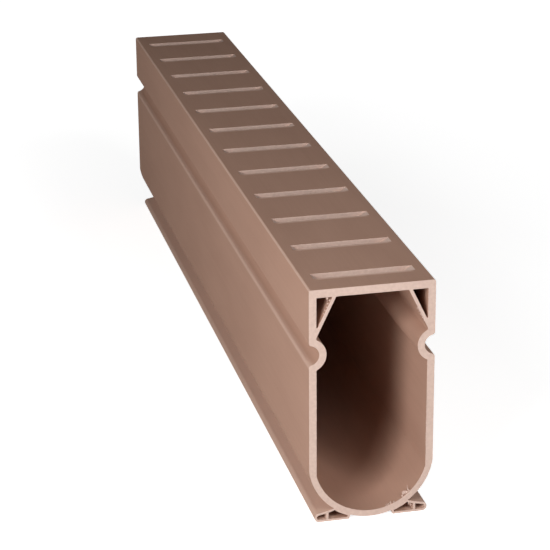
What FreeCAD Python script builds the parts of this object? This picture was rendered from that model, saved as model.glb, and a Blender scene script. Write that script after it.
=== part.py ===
import FreeCAD, Part
import math
import os

# A slotted channel drain: one length of a hollow extruded plastic section, sawn square at
# both ends, with a row of slots cut down through its top by a round blade.
# Millimetres.  X runs across, Y along and Z up.  The origin is on the ground that the two
# feet stand on, under the middle of the length.

# Outside of the section
LENGTH = 304.8
WIDTH = 38.1
HEIGHT = 74.5
TOP_EDGE_RADIUS = 1.3

# Walls of the channel, and the radius that the die leaves in its inside corners
SIDE_WALL = 2.25
TOP_WALL = 2.5
BOTTOM_WALL = 1.9
CORNER_RADIUS = 0.45

# Round bottom: its radius is a little more than half the width, so it meets the straight
# sides at a crease, and it hangs just clear of the ground between the feet
BOTTOM_FLARE = 0.2
BOTTOM_CLEARANCE = 0.25

# Anchor groove, a half-round dent along each side with the wall bulging in behind it
GROOVE_HEIGHT = 54.2
GROOVE_RADIUS = 3.1
GROOVE_WALL = 2.15
GROOVE_LIP_RADIUS = 0.9

# Slanted web that braces each top corner and closes a three-sided cell behind it
WEB_WALL = 1.0
WEB_REACH = 5.9
WEB_LEAN = math.radians(25.5)
CELL_RADIUS = 0.2

# Hollow foot under each side of the round bottom, with one upright rib.  The cover is what
# the foot adds to the round bottom's own wall over its inner cell.
FOOT_INSIDE = 6.8
FOOT_OUTSIDE = 17.4
FOOT_WALL = 0.65
FOOT_COVER = 0.35
FOOT_TIP_HEIGHT = 2.9
FOOT_RIB_WALL = 0.7
FOOT_RIB_PLACE = 13.5
FOOT_RIB_HEIGHT = 3.4
FOOT_JOIN_PLACE = 11.5

# Slots across the top, from the near end
SLOT_WIDTH = 3.97
SLOT_LENGTH = 31.0
SLOT_PITCH = 25.4
FIRST_SLOT = 11.1
BLADE_RADIUS = 30.0

# Worked out from the sizes above
HALF_WIDTH = WIDTH / 2
INNER_HALF_WIDTH = HALF_WIDTH - SIDE_WALL
TOP_UNDERSIDE = HEIGHT - TOP_WALL
BOTTOM_RADIUS = HALF_WIDTH + BOTTOM_FLARE
BOTTOM_CENTRE = BOTTOM_CLEARANCE + BOTTOM_RADIUS
NEAR_END = -LENGTH / 2
ALONG = FreeCAD.Vector(0, 1, 0)
NEAR = 1e-3


def point(x, z):
    """A point of the section, in the plane of the near end."""
    return FreeCAD.Vector(x, NEAR_END, z)


def run(face):
    """Extrude a face of the section over the whole length."""
    return face.extrude(ALONG * LENGTH)


def polygon(*corners):
    return run(Part.Face(Part.makePolygon([point(x, z) for x, z in corners + corners[:1]])))


def rectangle(x_low, z_low, x_high, z_high):
    return polygon((x_low, z_low), (x_high, z_low), (x_high, z_high), (x_low, z_high))


def rod(x, z, radius):
    return Part.makeCylinder(radius, LENGTH, point(x, z), ALONG)


def both_sides(shape):
    """The shape and its mirror image in the middle plane."""
    return shape.fuse(shape.mirror(FreeCAD.Vector(), FreeCAD.Vector(1, 0, 0)))


def round_corners(shape, radius):
    """Round the long corners that point out, by drawing the section in and letting it out."""
    ends = [face for face in shape.removeSplitter().Faces if face.BoundBox.YMax < NEAR_END + NEAR]
    rounded = [end.makeOffset2D(-radius).makeOffset2D(radius) for end in ends]
    return run(Part.makeCompound(rounded))


def u_shape(half_width, radius, top):
    """Straight sides up to a flat top, on a round bottom struck from the common centre."""
    straight = rectangle(-half_width, BOTTOM_CENTRE, half_width, top)
    below = rectangle(-half_width, BOTTOM_CENTRE - radius, half_width, BOTTOM_CENTRE)
    return straight.fuse(rod(0, BOTTOM_CENTRE, radius).common(below)).removeSplitter()


def groove_rods(radius):
    """Rods along the middle of both grooves, to cut the dents or to leave the bulges."""
    return both_sides(rod(HALF_WIDTH, GROOVE_HEIGHT, radius))


def corner_triangle(reach):
    """Top corner outboard of a slanted line that leaves the top at reach from the side wall."""
    start = INNER_HALF_WIDTH - reach
    foot = TOP_UNDERSIDE - reach / math.tan(WEB_LEAN)
    side = INNER_HALF_WIDTH
    corner = polygon((start, TOP_UNDERSIDE), (side, TOP_UNDERSIDE), (side, foot))
    return corner.cut(rod(HALF_WIDTH, GROOVE_HEIGHT, GROOVE_RADIUS + GROOVE_WALL))


def channel_hollow():
    hollow = u_shape(INNER_HALF_WIDTH, BOTTOM_RADIUS - BOTTOM_WALL, TOP_UNDERSIDE)
    hollow = hollow.cut(groove_rods(GROOVE_RADIUS + GROOVE_WALL))
    hollow = hollow.cut(both_sides(corner_triangle(WEB_REACH)))
    return round_corners(hollow, CORNER_RADIUS)


def corner_cells():
    reach = WEB_REACH - WEB_WALL / math.cos(WEB_LEAN)
    return both_sides(round_corners(corner_triangle(reach), CELL_RADIUS))


def on_bottom(x, radius):
    """The point, right of the middle, where the round bottom's surface of that radius is at x."""
    return point(x, BOTTOM_CENTRE - math.sqrt(radius ** 2 - x ** 2))


def into_wall(place):
    """The point half way through the round bottom's wall, in line with its centre and a place."""
    centre = point(0, BOTTOM_CENTRE)
    return centre + (place - centre).normalize() * (BOTTOM_RADIUS - BOTTOM_WALL / 2)


def tangent_arc(start, heading, end):
    """The arc that leaves start along a heading and runs to end."""
    normal = FreeCAD.Vector(heading.z, 0, -heading.x).normalize()
    chord = end - start
    radius = chord.Length ** 2 / (2 * chord.dot(normal))
    centre = start + normal * radius
    bulge = start + end - centre * 2
    return Part.Arc(start, centre + bulge.normalize() * abs(radius), end).toShape()


def foot_face():
    """Outline of the right foot, rooted inside the wall of the round bottom."""
    tip = FOOT_TIP_HEIGHT / 2
    inside = point(FOOT_INSIDE, 0)
    base_end = point(FOOT_OUTSIDE - tip, 0)
    tip_end = point(FOOT_OUTSIDE, tip)
    tip_top = point(FOOT_OUTSIDE - tip, FOOT_TIP_HEIGHT)
    rib_top = point(FOOT_RIB_PLACE, FOOT_RIB_HEIGHT)
    join = on_bottom(FOOT_JOIN_PLACE, BOTTOM_RADIUS)
    outline = [
        Part.makeLine(inside, base_end),
        Part.Arc(base_end, tip_end, tip_top).toShape(),
        Part.makeLine(tip_top, rib_top),
        tangent_arc(rib_top, rib_top - tip_top, join),
    ]
    roots = [join, into_wall(join), into_wall(inside), inside]
    outline.extend(Part.makePolygon(roots).Edges)
    return Part.Face(Part.Wire(outline))


def foot_cells():
    """The two hollows of the right foot, one each side of its upright rib."""
    hollow = run(foot_face().makeOffset2D(-FOOT_WALL))
    hollow = hollow.cut(rod(0, BOTTOM_CENTRE, BOTTOM_RADIUS + FOOT_COVER))
    half_rib = FOOT_RIB_WALL / 2
    rib = rectangle(FOOT_RIB_PLACE - half_rib, 0, FOOT_RIB_PLACE + half_rib, BOTTOM_CENTRE)
    return round_corners(hollow.cut(rib), CELL_RADIUS)


def long_edges(solid, *places):
    """The edges that run the whole length through any of these (x, z) places."""
    chosen = []
    for edge in solid.Edges:
        middle = edge.BoundBox.Center
        at_place = any(abs(middle.x - x) < NEAR and abs(middle.z - z) < NEAR for x, z in places)
        if at_place and edge.BoundBox.YLength > LENGTH / 2:
            chosen.append(edge)
    return chosen


def outside():
    """The whole outer form with the grooves, before anything is hollowed out."""
    solid = u_shape(HALF_WIDTH, BOTTOM_RADIUS, HEIGHT)
    top_edges = long_edges(solid, (-HALF_WIDTH, HEIGHT), (HALF_WIDTH, HEIGHT))
    solid = solid.makeFillet(TOP_EDGE_RADIUS, top_edges).cut(groove_rods(GROOVE_RADIUS))
    lips = [
        (side * HALF_WIDTH, GROOVE_HEIGHT + way * GROOVE_RADIUS)
        for side in (-1, 1) for way in (-1, 1)
    ]
    solid = solid.makeFillet(GROOVE_LIP_RADIUS, long_edges(solid, *lips))
    return solid.fuse(both_sides(run(foot_face())))


def extrusion():
    return outside().cut([channel_hollow(), corner_cells(), both_sides(foot_cells())])


def slots():
    """Every slot that fits whole on the length, each as the slice that the blade sweeps."""
    rise = math.sqrt(BLADE_RADIUS ** 2 - (SLOT_LENGTH / 2) ** 2)
    count = int((LENGTH - FIRST_SLOT - SLOT_WIDTH / 2) // SLOT_PITCH) + 1
    blades = []
    for number in range(count):
        start = NEAR_END + FIRST_SLOT + number * SLOT_PITCH - SLOT_WIDTH / 2
        hub = FreeCAD.Vector(0, start, HEIGHT + rise)
        blades.append(Part.makeCylinder(BLADE_RADIUS, SLOT_WIDTH, hub, ALONG))
    return blades


def main():
    os.makedirs("parts", exist_ok=True)
    channel_body = extrusion().cut(slots()).removeSplitter().Solids[0]
    channel_body.exportStep("parts/channel_body.step")


main()
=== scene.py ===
import cmath
import math

import bmesh
import bpy
from mathutils import Matrix, Vector


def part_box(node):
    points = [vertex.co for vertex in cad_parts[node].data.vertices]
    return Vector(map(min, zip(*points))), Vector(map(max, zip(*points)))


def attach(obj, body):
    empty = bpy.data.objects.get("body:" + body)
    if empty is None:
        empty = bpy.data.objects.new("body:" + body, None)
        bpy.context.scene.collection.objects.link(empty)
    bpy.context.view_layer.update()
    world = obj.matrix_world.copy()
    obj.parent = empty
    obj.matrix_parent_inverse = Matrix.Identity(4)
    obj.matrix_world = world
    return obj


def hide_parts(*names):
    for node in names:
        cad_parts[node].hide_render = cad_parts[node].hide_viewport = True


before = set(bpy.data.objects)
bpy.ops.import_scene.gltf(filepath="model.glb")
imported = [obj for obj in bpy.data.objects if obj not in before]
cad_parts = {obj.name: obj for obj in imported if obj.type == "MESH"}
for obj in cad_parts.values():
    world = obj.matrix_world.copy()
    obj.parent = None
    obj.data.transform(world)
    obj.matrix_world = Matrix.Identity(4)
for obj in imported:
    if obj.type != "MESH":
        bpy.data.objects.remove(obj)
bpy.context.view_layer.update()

# One length of slotted channel drain, extruded in light brown plastic and sawn square at both
# ends.  Metres.  X runs across, Y along and Z up, with the two feet on the floor at z = 0.

MM = 0.001
BODY = "channel_body"
LOW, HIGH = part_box(BODY)
NEAR_END = LOW.y
LENGTH = HIGH.y - LOW.y
WIDTH = HIGH.x - LOW.x
TOP = HIGH.z

# The saw cuts across the top
TOP_WALL = 2.5 * MM
SLOT_WIDTH = 3.97 * MM
SLOT_LENGTH = 31.0 * MM
SLOT_PITCH = 25.4 * MM
SLOT_COUNT = 12
FIRST_SLOT = 11.1 * MM
BLADE_RADIUS = 30.0 * MM

# The long top edges: their radius on the body, and the crisper one that they are drawn with
TOP_EDGE_RADIUS = 1.3 * MM
CRISP_EDGE_RADIUS = 0.75 * MM

# Colours of the plastic, from its deeper patches to its lighter ones: the skin off the die and the
# faces that the saw left; and the pale colour of the painted highlights and painted light on the
# skin
SKIN_TONES = (0.475, 0.287, 0.213), (0.515, 0.315, 0.235)
SAWN_TONES = (0.635, 0.463, 0.392), (0.705, 0.528, 0.448)
PAINTED_LIGHT_TONE = (0.80, 0.58, 0.475, 1)

# Painted light along the whole length, on both sides, where the skin is painted paler: the line's
# x and z, how far around it is at its palest and where that ends, and how pale it is.  These are
# painted highlights on the top edges and on the lower lips of the grooves, and painted light on
# the thin feet
PAINTED_LIGHT_LINES = [
    (WIDTH / 2, TOP, 0.35 * MM, 0.7 * MM, 0.5),
    (WIDTH / 2, 51.1 * MM, 0.6 * MM, 1.7 * MM, 0.4),
    (WIDTH / 2 - 1.0 * MM, 1.0 * MM, 6.0 * MM, 7.5 * MM, 0.42),
]

# How finely a bend of the section is drawn
BEND_STEP = math.radians(4)
SHORTEST_STEP = 0.12 * MM

# Two steps of an outline are on one bend if their lengths differ by no more than this share, and
# the turn from one to the other is in this range
SAME_LENGTH = 0.002
LEAST_BEND, MOST_BEND = math.radians(0.2), math.radians(50)

# The turn from which an edge is sharp, and how much of its normal is along Y on a face that
# lies across the length
SHARP_TURN = math.radians(6.5)
ACROSS_LENGTH = 0.9

# Points this close are one point, and faces this close to a plane are on it
WELD = 0.001 * MM
MARGIN = 0.02 * MM

# Length of the largest shard in the saw's fringe
SHARD_LENGTH = 0.22 * MM

# Crumbs that hang on to the near end's edges: x and z near the edge, off the edge, radius, all
# in millimetres
CRUMBS = [
    (9.4, 7.5, 0.60, 0.72), (10.0, 7.8, 0.25, 0.70), (10.6, 8.3, 0.15, 0.45),
    (8.9, 6.8, 0.20, 0.42), (5.8, 4.6, 0.25, 0.36), (5.2, 4.3, 0.20, 0.30),
    (6.7, 5.1, 0.15, 0.26), (4.5, 4.0, 0.15, 0.24),
    (-13.6, 71.2, 0.45, 0.45), (-12.9, 70.9, 0.20, 0.34), (-14.2, 70.3, 0.30, 0.30),
    (-14.6, 69.3, 0.15, 0.24), (-15.0, 68.3, 0.15, 0.26), (-15.4, 67.3, 0.12, 0.22),
    (16.9, 71.1, 0.20, 0.36), (17.0, 70.1, 0.15, 0.28), (17.0, 69.0, 0.10, 0.22),
    (12.2, 65.3, 0.12, 0.26), (12.8, 64.3, 0.12, 0.22), (13.3, 63.3, 0.10, 0.26),
    (13.9, 62.2, 0.10, 0.20), (14.4, 61.2, 0.10, 0.24),
]

# Whiskers of plastic that rise from the near end's edges: x and z near the edge and length in
# millimetres, lean in degrees
WHISKERS = [
    (10.5, 8.1, 2.1, 25),
    (5.7, 4.6, 1.1, 15), (5.0, 4.3, 0.9, 50), (6.4, 5.0, 0.7, -20),
    (-13.4, 71.2, 1.1, 60), (12.6, 64.6, 0.8, 70), (13.6, 62.7, 0.7, 60),
]

# Curls of swarf at the near end: x and z near the edge and how far in, in millimetres, size
# against a plain curl, turns in degrees
CURLS = [
    (12.3, 2.6, 0.05, 1.10, (-85, 10, 0)), (11.0, 3.6, 0.25, 0.80, (20, 40, 70)),
    (12.8, 1.9, 0.4, 0.60, (-120, 30, 0)), (-13.9, 70.7, 0.7, 0.50, (-70, 0, 40)),
]

# The numbers that tell the three kinds of swarf apart
CRUMB, WHISKER, CURL = 0.0, 1.0, 2.0

# What keeps the swarf inside the near end, in millimetres: the room left in front of a crumb or
# a whisker, half of a whisker's depth against its length, and half of a curl's depth.  Curls
# hang a little off the edge
CLEAR = 0.02
WHISKER_ROOM = 0.17
CURL_ROOM = 0.3
CURL_OFF = 0.4

# The soft boxes: name, place, the point that it faces, power in watts
LIGHT_SIZE = 0.20
END_MIDDLE = (0, -0.152, 0.045)
LIGHTS = [
    ("key", (-0.332, -0.431, 0.295), END_MIDDLE, 1.3),
    ("front_high", (0.260, -0.603, 0.513), END_MIDDLE, 1.25),
    ("front_middle", (0.075, -0.683, 0.495), END_MIDDLE, 0.42),
    ("front_low", (0.145, -0.834, 0.106), END_MIDDLE, 0.5),
    ("left_low", (-0.535, -0.601, 0.094), END_MIDDLE, 1.4),
    ("left_high", (-0.424, -0.110, 0.464), (0, -0.11, 0.04), 0.26),
]


# ------------------------------------------------ the section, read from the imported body

def near_end_outlines():
    """The closed outlines of the sawn near end, each a list of points x + z * 1j in order."""
    body = bmesh.new()
    body.from_mesh(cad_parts[BODY].data)
    bmesh.ops.remove_doubles(body, verts=body.verts, dist=WELD)
    near = {f for f in body.faces if f.calc_center_median().y < NEAR_END + MARGIN}
    rim = [e for e in body.edges if len(near.intersection(e.link_faces)) == 1]
    unused = set(rim)
    outlines = []
    for edge in rim:
        if edge not in unused:
            continue
        unused.remove(edge)
        first, vert = edge.verts
        outline = [first]
        while vert is not first:
            outline.append(vert)
            edge = next(e for e in vert.link_edges if e in unused)
            unused.remove(edge)
            vert = edge.other_vert(vert)
        outlines.append([complex(v.co.x, v.co.z) for v in outline])
    body.free()
    return outlines


def hollow_outlines():
    """The near-end outlines of the channel and the cells, without the outside one."""
    outlines = near_end_outlines()
    outside = max(outlines, key=lambda outline: max(p.real for p in outline))
    return [outline for outline in outlines if outline is not outside]


def circle_centre(a, b, c):
    """Centre of the circle through three points."""
    u, v = b - a, c - a
    cross = (u.conjugate() * v).imag
    return a + 1j * (u * abs(v) ** 2 - v * abs(u) ** 2) / (2 * cross)


def with_round_bends(outline):
    """The outline with each bend drawn finer, on the circle that its own points lie on."""
    count = len(outline)
    centres = [None] * count
    for i in range(count):
        a, b, c = outline[i - 1], outline[i], outline[(i + 1) % count]
        even = abs(abs(b - a) - abs(c - b)) < SAME_LENGTH * abs(c - b)
        turn = abs(cmath.phase((c - b) / (b - a)))
        if even and LEAST_BEND < turn < MOST_BEND:
            centres[i - 1] = centres[i] = circle_centre(a, b, c)
    drawn = []
    for i in range(count):
        a, b, centre = outline[i], outline[(i + 1) % count], centres[i]
        drawn.append(a)
        if centre is not None:
            sweep = cmath.phase((b - centre) / (a - centre))
            steps = min(math.ceil(abs(sweep) / BEND_STEP), int(abs(b - a) / SHORTEST_STEP))
            turns = [sweep * step / steps for step in range(1, steps)]
            drawn += [centre + (a - centre) * cmath.exp(1j * turn) for turn in turns]
    return drawn


def with_crisp_top_edges(outline):
    """The outline with its two outer top corners drawn in towards their points."""
    drawn = []
    for p in outline:
        corner = complex(math.copysign(WIDTH / 2, p.real), TOP)
        away = corner - p
        if max(abs(away.real), abs(away.imag)) < 1.01 * TOP_EDGE_RADIUS:
            p = corner - away * CRISP_EDGE_RADIUS / TOP_EDGE_RADIUS
        drawn.append(p)
    return drawn


def closed_loop(start, count):
    """The edges that join that many points, from start on, into a closed loop."""
    return [(start + i, start + (i + 1) % count) for i in range(count)]


def section_mesh():
    """The section's outlines as loops of edges, flat in the XY plane with y for the height."""
    points, edges = [], []
    for outline in near_end_outlines():
        drawn = with_crisp_top_edges(with_round_bends(outline))
        edges += closed_loop(len(points), len(drawn))
        points += [(p.real, p.imag, 0) for p in drawn]
    mesh = bpy.data.meshes.new("channel_length")
    mesh.from_pydata(points, edges, [])
    return mesh


# ------------------------------------------------ node trees

def give(tree, socket, value):
    """Link a node or an output to a socket, or set the socket to a plain value."""
    if isinstance(value, bpy.types.Node):
        value = next(s for s in value.outputs if s.enabled)
    if isinstance(value, bpy.types.NodeSocket):
        tree.links.new(value, socket)
    else:
        socket.default_value = value


def named_input(node, key):
    """An enabled input socket by its name, with _ for each space."""
    label = key.replace("_", " ").lower()
    return next(s for s in node.inputs if s.enabled and s.name.lower() == label)


class Tree:
    """A Geometry Nodes tree with named inputs, built node by node."""

    def __init__(self, name, **inputs):
        self.tree = bpy.data.node_groups.new(name, "GeometryNodeTree")
        face = self.tree.interface
        face.new_socket("Geometry", in_out="OUTPUT", socket_type="NodeSocketGeometry")
        face.new_socket("Geometry", in_out="INPUT", socket_type="NodeSocketGeometry")
        self.values = {}
        for label, value in inputs.items():
            kind = "NodeSocketMaterial"
            if isinstance(value, int):
                kind = "NodeSocketInt"
            elif isinstance(value, float):
                kind = "NodeSocketFloat"
            label = label.replace("_", " ").capitalize()
            socket = face.new_socket(label, in_out="INPUT", socket_type=kind)
            self.values[socket.identifier] = value
        self.inputs = self.tree.nodes.new("NodeGroupInput").outputs
        self.output = self.tree.nodes.new("NodeGroupOutput").inputs[0]

    def add(self, kind, settings=None, **inputs):
        """A node of that kind, with its inputs set to values, nodes or outputs."""
        node = self.tree.nodes.new(kind)
        for key, value in (settings or {}).items():
            setattr(node, key, value)
        for key, value in inputs.items():
            give(self.tree, named_input(node, key), value)
        return node

    def math(self, operation, *values):
        """One sum on numbers or outputs."""
        node = self.add("ShaderNodeMath", {"operation": operation})
        for socket, value in zip(node.inputs, values):
            give(self.tree, socket, value)
        return node

    def join(self, *parts):
        """Several geometries as one."""
        node = self.add("GeometryNodeJoinGeometry")
        for part in parts:
            give(self.tree, node.inputs[0], part)
        return node

    def made(self, result, mesh, name):
        """That result of the tree on a mesh, as a plain object at the origin."""
        give(self.tree, self.output, result)
        source = bpy.data.objects.new("source", mesh)
        bpy.context.scene.collection.objects.link(source)
        modifier = source.modifiers.new(name, "NODES")
        modifier.node_group = self.tree
        for identifier, value in self.values.items():
            modifier[identifier] = value
        graph = bpy.context.evaluated_depsgraph_get()
        plain = bpy.data.meshes.new_from_object(source.evaluated_get(graph), depsgraph=graph)
        plain.name = name
        bpy.data.objects.remove(source)
        piece = bpy.data.objects.new(name, plain)
        bpy.context.scene.collection.objects.link(piece)
        return piece


# ------------------------------------------------ finishes

def new_material(name):
    """A material and its shader."""
    material = bpy.data.materials.new(name)
    material.use_nodes = True
    return material, material.node_tree.nodes["Principled BSDF"]


def set_inputs(owner, node, **inputs):
    """Set a node's inputs to values or outputs.  The owner is a material or a world."""
    for key, value in inputs.items():
        give(owner.node_tree, named_input(node, key), value)


def shader_node(owner, kind, settings=None, **inputs):
    """A node of that kind, with its inputs set to values or outputs."""
    node = owner.node_tree.nodes.new(kind)
    for key, value in (settings or {}).items():
        setattr(node, key, value)
    set_inputs(owner, node, **inputs)
    return node


def worked_out(owner, operation, *values, kind="ShaderNodeMath"):
    """One sum on numbers or outputs."""
    node = shader_node(owner, kind, {"operation": operation})
    for socket, value in zip(node.inputs, values):
        give(owner.node_tree, socket, value)
    return next(s for s in node.outputs if s.enabled)


def object_place(owner):
    """Where a point of the surface is on the object."""
    return shader_node(owner, "ShaderNodeTexCoord").outputs["Object"]


def stretched(material, scale, location=(0, 0, 0)):
    """Places on the object, scaled and then moved."""
    mapping = shader_node(material, "ShaderNodeMapping", Vector=object_place(material),
                          Scale=scale, Location=location)
    return mapping.outputs[0]


def noise(material, where, scale, detail):
    return shader_node(material, "ShaderNodeTexNoise", Vector=where, Scale=scale,
                       Detail=detail).outputs["Fac"]


def between(material, factor, first, second):
    """A colour that goes from first to second over the middle of a noise's range."""
    ramp = shader_node(material, "ShaderNodeValToRGB", Fac=factor)
    for stop, place, colour in zip(ramp.color_ramp.elements, (0.3, 0.7), (first, second)):
        stop.position = place
        stop.color = (*colour, 1)
    return ramp.outputs[0]


def ranged(owner, value, from_low, from_high, to_low, to_high, curve="LINEAR"):
    """A value's range, carried over to another range."""
    node = shader_node(owner, "ShaderNodeMapRange", {"interpolation_type": curve}, Value=value,
                       From_Min=from_low, From_Max=from_high, To_Min=to_low, To_Max=to_high)
    return node.outputs[0]


def fading(material, value, near, far, full=1.0):
    """Full where a value is at most near, and nothing where it is at least far."""
    return ranged(material, value, near, far, full, 0, "SMOOTHSTEP")


def distance_to(material, x, z):
    """How far the surface is from two lines along Y, at x and at -x, both at height z."""
    vectors = "ShaderNodeVectorMath"
    one_side = worked_out(material, "ABSOLUTE", object_place(material), kind=vectors)
    away = worked_out(material, "MULTIPLY_ADD", one_side, (1, 0, 1), (-x, 0, -z), kind=vectors)
    return worked_out(material, "LENGTH", away, kind=vectors)


def tinted(material, how, factor, first, second):
    mixed = shader_node(material, "ShaderNodeMix", {"data_type": "RGBA", "blend_type": how},
                        Factor=factor, A=first, B=second)
    return mixed.outputs[2]


def slot_rim_highlights(material, width, full):
    """Where the painted highlight lies: full along the near rims of the slots, and fading out over
    that width.
    """
    x, y, z = shader_node(material, "ShaderNodeSeparateXYZ", Vector=object_place(material)).outputs
    past_rim = worked_out(material, "SUBTRACT", y, NEAR_END + FIRST_SLOT - SLOT_WIDTH / 2)
    past_rim = worked_out(material, "WRAP", past_rim, MARGIN, MARGIN - SLOT_PITCH)
    before = worked_out(material, "ABSOLUTE", past_rim)
    aside = worked_out(material, "ABSOLUTE", x)
    painted_light = fading(material, before, width / 3, width, full)
    within = fading(material, aside, SLOT_LENGTH / 2 - 2 * MM, SLOT_LENGTH / 2)
    on_top = worked_out(material, "GREATER_THAN", z, TOP - 0.2 * MM)
    return worked_out(material, "MULTIPLY", worked_out(material, "MULTIPLY", painted_light, within), on_top)


def extruded_skin():
    """Smooth skin off the die: faint lines along the length, slightly uneven in tone.

    It is painted paler as highlights on the top edges, the grooves' lips and the near rim of each
    slot, and as painted light on the thin feet."""
    material, shader = new_material("extruded_skin")
    lines = noise(material, stretched(material, (1, 0.012, 1)), 1500, 3)
    clouds = noise(material, stretched(material, (1, 0.3, 1)), 60, 3)
    tone = between(material, clouds, *SKIN_TONES)
    shade = between(material, lines, (0.97, 0.97, 0.97), (1, 1, 1))
    tone = tinted(material, "MULTIPLY", 1.0, tone, shade)
    # painted highlights on the slots' near rims, the top edges and the grooves' lower lips, and
    # painted light on the thin feet, mixed in below in a pale colour
    painted_light = slot_rim_highlights(material, 1.5 * MM, 0.6)
    for x, z, near, far, full in PAINTED_LIGHT_LINES:
        line = fading(material, distance_to(material, x, z), near, far, full)
        painted_light = worked_out(material, "MAXIMUM", painted_light, line)
    colour = tinted(material, "MIX", painted_light, tone, PAINTED_LIGHT_TONE)
    bump = shader_node(material, "ShaderNodeBump", Strength=0.12, Distance=0.05 * MM,
                       Height=lines)
    set_inputs(material, shader, Base_Color=colour, Normal=bump.outputs[0], Roughness=0.75,
               Specular_IOR_Level=0.02)
    return material


def sawn_face():
    """Matt, paler plastic where the saw went through, with the marks of its teeth."""
    material, shader = new_material("sawn_face")
    grain = noise(material, stretched(material, (1, 1, 1)), 1100, 4)
    tone = between(material, grain, *SAWN_TONES)
    # rings about a point beside the end, as a round blade leaves
    from_blade = stretched(material, (1, 1, 1), (0.12, 0, -0.15))
    marks = shader_node(material, "ShaderNodeTexWave", {"wave_type": "RINGS",
                        "rings_direction": "Y"}, Vector=from_blade, Scale=160, Distortion=2.0,
                        Detail=2.0).outputs["Fac"]
    bump = shader_node(material, "ShaderNodeBump", Strength=0.3, Distance=0.05 * MM,
                       Height=marks)
    set_inputs(material, shader, Base_Color=tone, Normal=bump.outputs[0], Roughness=0.8,
               Specular_IOR_Level=0.02)
    return material


# ------------------------------------------------ the whole length

def channel_length(skin, sawn):
    """The whole length: the section drawn out along Y, less what the blade took out."""
    t = Tree("slotted_extrusion", length=LENGTH, near_end=NEAR_END, top=TOP,
             slot_count=SLOT_COUNT, slot_pitch=SLOT_PITCH, first_slot=FIRST_SLOT,
             slot_width=SLOT_WIDTH, slot_length=SLOT_LENGTH, blade_radius=BLADE_RADIUS,
             sharp_turn=SHARP_TURN, skin=skin, sawn=sawn)
    size = t.inputs
    # the section, filled, stood up at the near end and drawn out
    outline = t.add("GeometryNodeMeshToCurve", mesh=size["Geometry"])
    filled = t.add("GeometryNodeFillCurve", curve=outline)
    place = t.add("ShaderNodeCombineXYZ", y=size["Near end"])
    near = t.add("GeometryNodeTransform", geometry=filled, translation=place,
                 rotation=(math.pi / 2, 0, 0))
    ahead = t.add("ShaderNodeCombineXYZ", y=size["Length"])
    start = t.add("GeometryNodeFlipFaces", mesh=near)
    drawn = t.add("GeometryNodeExtrudeMesh", mesh=start, offset=ahead, individual=False)
    solid = t.add("GeometryNodeMergeByDistance", geometry=t.join(near, drawn), distance=WELD)
    # one disc for each pass of the blade
    disc = t.add("GeometryNodeMeshCylinder", {"fill_type": "NGON"}, vertices=360,
                 radius=size["Blade radius"], depth=size["Slot width"])
    upright = t.add("GeometryNodeTransform", geometry=disc, rotation=(math.pi / 2, 0, 0))
    half = t.math("MULTIPLY", size["Slot length"], 0.5)
    rise = t.math("SQRT", t.math("SUBTRACT", t.math("POWER", size["Blade radius"], 2.0),
                                 t.math("POWER", half, 2.0)))
    first = t.add("ShaderNodeCombineXYZ", z=t.math("ADD", size["Top"], rise),
                  y=t.math("ADD", size["Near end"], size["First slot"]))
    step = t.add("ShaderNodeCombineXYZ", y=size["Slot pitch"])
    row = t.add("GeometryNodeMeshLine", count=size["Slot count"], start_location=first,
                offset=step)
    blades = t.add("GeometryNodeInstanceOnPoints", points=row, instance=upright)
    cut = t.add("GeometryNodeMeshBoolean", {"operation": "DIFFERENCE", "solver": "EXACT"},
                mesh_1=solid, mesh_2=blades)
    # smooth round the bends, sharp at the corners
    angle = t.add("GeometryNodeInputMeshEdgeAngle")
    corner = t.add("FunctionNodeCompare", {"operation": "GREATER_THAN"},
                   a=angle.outputs[0], b=size["Sharp turn"])
    smooth = t.add("GeometryNodeSetShadeSmooth", {"domain": "FACE"}, geometry=cut)
    shaded = t.add("GeometryNodeSetShadeSmooth", {"domain": "EDGE"}, geometry=smooth,
                   selection=corner, shade_smooth=False)
    # the sawn faces: both ends, and the sides and run-outs of the slots
    normal = t.add("ShaderNodeSeparateXYZ", vector=t.add("GeometryNodeInputNormal"))
    middle = t.add("ShaderNodeSeparateXYZ", vector=t.add("GeometryNodeInputPosition"))
    across = t.math("GREATER_THAN", t.math("ABSOLUTE", normal.outputs[1]), ACROSS_LENGTH)
    below = t.math("LESS_THAN", middle.outputs[2], t.math("SUBTRACT", size["Top"], MARGIN))
    above = t.math("GREATER_THAN", middle.outputs[2],
                   t.math("SUBTRACT", size["Top"], TOP_WALL - MARGIN))
    inside = t.math("LESS_THAN", t.math("ABSOLUTE", middle.outputs[0]), half)
    in_slot = t.math("MULTIPLY", t.math("MULTIPLY", below, above), inside)
    is_sawn = t.math("MAXIMUM", across, in_slot)
    whole = t.add("GeometryNodeRealizeInstances", geometry=shaded)
    in_skin = t.add("GeometryNodeSetMaterial", geometry=whole, material=size["Skin"])
    dressed = t.add("GeometryNodeSetMaterial", geometry=in_skin, selection=is_sawn,
                    material=size["Sawn"])
    return t.made(dressed, section_mesh(), "channel_length")


# ------------------------------------------------ what the saw left on the ends

def point_mesh(name, points, edges=(), **attributes):
    """A mesh of loose points or edges, with a named number or vector at each point."""
    mesh = bpy.data.meshes.new(name)
    mesh.from_pydata(points, list(edges), [])
    for label, values in attributes.items():
        is_number = isinstance(values[0], float)
        kind, field = ("FLOAT", "value") if is_number else ("FLOAT_VECTOR", "vector")
        attribute = mesh.attributes.new(label, kind, "POINT")
        for item, value in zip(attribute.data, values):
            setattr(item, field, value)
    return mesh


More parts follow.
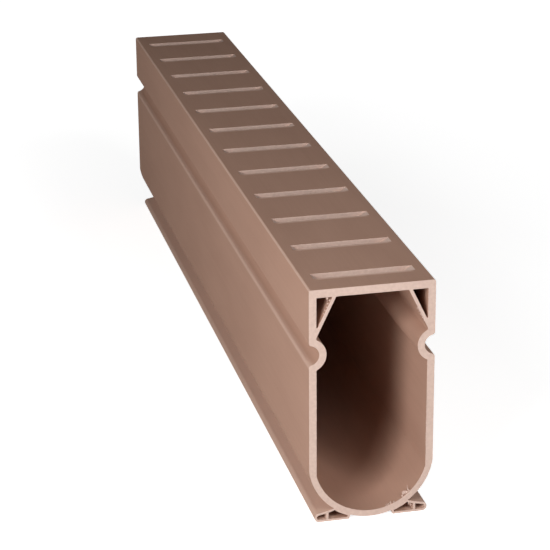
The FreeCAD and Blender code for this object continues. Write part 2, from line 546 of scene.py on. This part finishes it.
def saw_fringe(sawn):
    """Small shards of plastic that the saw left here and there along the edges of the hollows."""
    points, edges = [], []
    for y in (NEAR_END + SHARD_LENGTH, NEAR_END + LENGTH - SHARD_LENGTH):
        for outline in hollow_outlines():
            edges += closed_loop(len(points), len(outline))
            points += [(p.real, y, p.imag) for p in outline]
    t = Tree("saw_fringe", spacing=0.3 * MM, patch_size=5.0 * MM, bare_share=0.56,
             shard_length=SHARD_LENGTH, seed=7, sawn=sawn)
    size = t.inputs
    outline = t.add("GeometryNodeMeshToCurve", mesh=size["Geometry"])
    spots = t.add("GeometryNodeResampleCurve", {"mode": "LENGTH"}, curve=outline,
                  length=size["Spacing"])
    patches = t.add("ShaderNodeTexNoise", scale=t.math("DIVIDE", 1.0, size["Patch size"]),
                    detail=3.0)
    ragged = t.math("GREATER_THAN", patches, size["Bare share"])
    lump = t.add("GeometryNodeMeshIcoSphere", radius=size["Shard length"], subdivisions=1)
    shard = t.add("GeometryNodeTransform", geometry=lump, scale=(1.0, 0.45, 0.3))
    turn = t.add("FunctionNodeRandomValue", {"data_type": "FLOAT_VECTOR"}, max=(6.3, 6.3, 6.3),
                 seed=size["Seed"])
    scale = t.add("FunctionNodeRandomValue", {"data_type": "FLOAT"}, min=0.3, max=1.0,
                  seed=t.math("ADD", size["Seed"], 1.0))
    shards = t.add("GeometryNodeInstanceOnPoints", points=spots, selection=ragged,
                   instance=shard, rotation=turn, scale=scale)
    whole = t.add("GeometryNodeRealizeInstances", geometry=shards)
    dressed = t.add("GeometryNodeSetMaterial", geometry=whole, material=size["Sawn"])
    return t.made(dressed, point_mesh("saw_fringe", points, edges), "saw_fringe")


def on_edge(x, z, off=0.0):
    """The place on a hollow's near edge nearest to x and z, moved off it, all in millimetres."""
    wanted = complex(x, z) * MM
    spots = []
    for outline in hollow_outlines():
        for i, b in enumerate(outline):
            a = outline[i - 1]
            share = ((wanted - a) * (b - a).conjugate()).real / abs(b - a) ** 2
            spots.append(a + (b - a) * min(max(share, 0), 1))
    spot = min(spots, key=lambda p: abs(wanted - p))
    away = (wanted - spot) / max(abs(wanted - spot), WELD)
    return spot + away * off * MM


def swarf_points():
    """One point for each crumb, whisker and curl, with its kind, size and turn."""
    rows = []
    for x, z, off, radius in CRUMBS:
        some_turn = (x, z, radius * 9)
        rows.append((on_edge(x, z, off), radius + CLEAR, CRUMB, radius, some_turn))
    for x, z, length, lean in WHISKERS:
        turn = (0.0, math.radians(-lean), 0.0)
        rows.append((on_edge(x, z), WHISKER_ROOM * length + CLEAR, WHISKER, length, turn))
    for x, z, depth, width, angles in CURLS:
        turn = [math.radians(angle) for angle in angles]
        rows.append((on_edge(x, z, CURL_OFF), depth + CURL_ROOM, CURL, width, turn))
    spots, depths, kinds, sizes, turns = zip(*rows)
    points = [(p.real, NEAR_END + depth * MM, p.imag) for p, depth in zip(spots, depths)]
    return point_mesh("swarf", points, kind=kinds, size=sizes, turn=turns)


def swarf(sawn):
    """Crumbs, whiskers and curls of plastic that the saw left on the near end's edges."""
    t = Tree("swarf", crumb_radius=0.75 * MM, crumb_roughness=1.9, whisker_length=1.0 * MM,
             whisker_radius=0.09 * MM, ribbon_width=0.5 * MM, ribbon_wall=0.09 * MM,
             curl_turns=1.3, curl_radius=0.5 * MM, curl_rise=0.7 * MM, sawn=sawn)
    size = t.inputs
    # a rough crumb
    ball = t.add("GeometryNodeMeshIcoSphere", radius=size["Crumb radius"], subdivisions=3)
    pits = t.add("ShaderNodeTexNoise", scale=t.math("DIVIDE", 1.1, size["Crumb radius"]),
                 detail=2.0)
    height = t.math("MULTIPLY", t.math("SUBTRACT", pits, 0.5), size["Crumb roughness"])
    outwards = t.add("ShaderNodeVectorMath", {"operation": "SCALE"},
                     vector=t.add("GeometryNodeInputNormal"),
                     scale=t.math("MULTIPLY", height, size["Crumb radius"]))
    crumb = t.add("GeometryNodeSetPosition", geometry=ball, offset=outwards)
    # a whisker that tapers and bends over
    tip = t.add("ShaderNodeCombineXYZ", x=t.math("MULTIPLY", size["Whisker length"], 0.25),
                z=size["Whisker length"])
    middle = t.add("ShaderNodeCombineXYZ", z=t.math("MULTIPLY", size["Whisker length"], 0.6))
    hair = t.add("GeometryNodeCurveQuadraticBezier", resolution=8, middle=middle, end=tip,
                 start=(0.0, 0.0, 0.0))
    along = t.add("GeometryNodeSplineParameter")
    taper = t.math("SUBTRACT", 1.0, t.math("MULTIPLY", along.outputs[0], 0.75))
    round_wire = t.add("GeometryNodeCurvePrimitiveCircle", resolution=6,
                       radius=size["Whisker radius"])
    whisker = t.add("GeometryNodeCurveToMesh", curve=hair, profile_curve=round_wire,
                    scale=taper, fill_caps=True)
    # a curled ribbon
    coil = t.add("GeometryNodeCurveSpiral", resolution=14, rotations=size["Curl turns"],
                 start_radius=t.math("MULTIPLY", size["Curl radius"], 0.4),
                 end_radius=size["Curl radius"], height=size["Curl rise"])
    flat = t.add("GeometryNodeCurvePrimitiveQuadrilateral", width=size["Ribbon wall"],
                 height=size["Ribbon width"])
    curl = t.add("GeometryNodeCurveToMesh", curve=coil, profile_curve=flat, fill_caps=True)
    # each on its own points
    kind = t.add("GeometryNodeInputNamedAttribute", {"data_type": "FLOAT"}, name="kind")
    turn = t.add("GeometryNodeInputNamedAttribute", {"data_type": "FLOAT_VECTOR"}, name="turn")
    scale = t.add("GeometryNodeInputNamedAttribute", {"data_type": "FLOAT"}, name="size")
    placed = []
    for number, shape in ((CRUMB, crumb), (WHISKER, whisker), (CURL, curl)):
        chosen = t.math("COMPARE", kind, number, 0.1)
        placed.append(t.add("GeometryNodeInstanceOnPoints", points=size["Geometry"],
                            selection=chosen, instance=shape, rotation=turn, scale=scale))
    whole = t.add("GeometryNodeRealizeInstances", geometry=t.join(*placed))
    dressed = t.add("GeometryNodeSetMaterial", geometry=whole, material=size["Sawn"])
    return t.made(dressed, swarf_points(), "swarf")


# ------------------------------------------------ the scene

def seen_directly(owner):
    """1 for rays from the camera, and for what shows in a gloss or through glass."""
    rays = shader_node(owner, "ShaderNodeLightPath").outputs
    first = worked_out(owner, "MAXIMUM", rays["Is Camera Ray"], rays["Is Glossy Ray"])
    return worked_out(owner, "MAXIMUM", first, rays["Is Transmission Ray"])


def studio_floor():
    """A plain white floor that shows the object's soft shadow, and is whiter further away."""
    half, near, far, near_glow, far_glow = 6, 0.15, 0.5, 0.8, 1
    corners = [(-half, -half, 0), (half, -half, 0), (half, half, 0), (-half, half, 0)]
    mesh = bpy.data.meshes.new("studio_floor")
    mesh.from_pydata(corners, [], [(0, 1, 2, 3)])
    floor = bpy.data.objects.new("studio_floor", mesh)
    bpy.context.scene.collection.objects.link(floor)
    material, shader = new_material("white_floor")
    away = worked_out(material, "LENGTH", object_place(material), kind="ShaderNodeVectorMath")
    paler = ranged(material, away, near, far, near_glow, far_glow)
    glow = worked_out(material, "MULTIPLY", seen_directly(material), paler)
    set_inputs(material, shader, Base_Color=(0.8, 0.8, 0.8, 1), Roughness=0.9,
               Specular_IOR_Level=0, Emission_Color=(1, 1, 1, 1), Emission_Strength=glow)
    mesh.materials.append(material)


def white_room(fill):
    """A world that looks white, and lights the object only by the given fill."""
    world = bpy.data.worlds.new("white_room")
    world.use_nodes = True
    bpy.context.scene.world = world
    strength = ranged(world, seen_directly(world), 0, 1, fill, 1)
    set_inputs(world, world.node_tree.nodes["Background"], Color=(1, 1, 1, 1), Strength=strength)


def soft_light(name, place, target, power):
    """A soft box that faces a point."""
    lamp = bpy.data.lights.new(name, "AREA")
    lamp.shape = "RECTANGLE"
    lamp.size = lamp.size_y = LIGHT_SIZE
    lamp.energy = power
    light = bpy.data.objects.new(name, lamp)
    bpy.context.scene.collection.objects.link(light)
    place = Vector(place)
    turn = (Vector(target) - place).to_track_quat("-Z", "Y")
    light.matrix_world = Matrix.Translation(place) @ turn.to_matrix().to_4x4()


def studio_camera():
    """In front of the near end, a little to the left and above, looking along the length."""
    data = bpy.data.cameras.new("camera")
    data.sensor_width = 36
    data.lens = 135.386
    camera = bpy.data.objects.new("camera", data)
    bpy.context.scene.collection.objects.link(camera)
    camera.location = (-0.150350, -0.688811, 0.288005)
    camera.rotation_euler = [math.radians(turn) for turn in (69.3070, 0.4867, -12.9412)]
    bpy.context.scene.camera = camera


def main():
    skin = extruded_skin()
    sawn = sawn_face()
    length = channel_length(skin, sawn)
    for piece in (length, saw_fringe(sawn), swarf(sawn)):
        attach(piece, "root")
    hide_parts(BODY)
    studio_floor()
    white_room(0.02)
    for light in LIGHTS:
        soft_light(*light)
    studio_camera()
    bpy.context.scene.view_settings.view_transform = "Standard"


main()
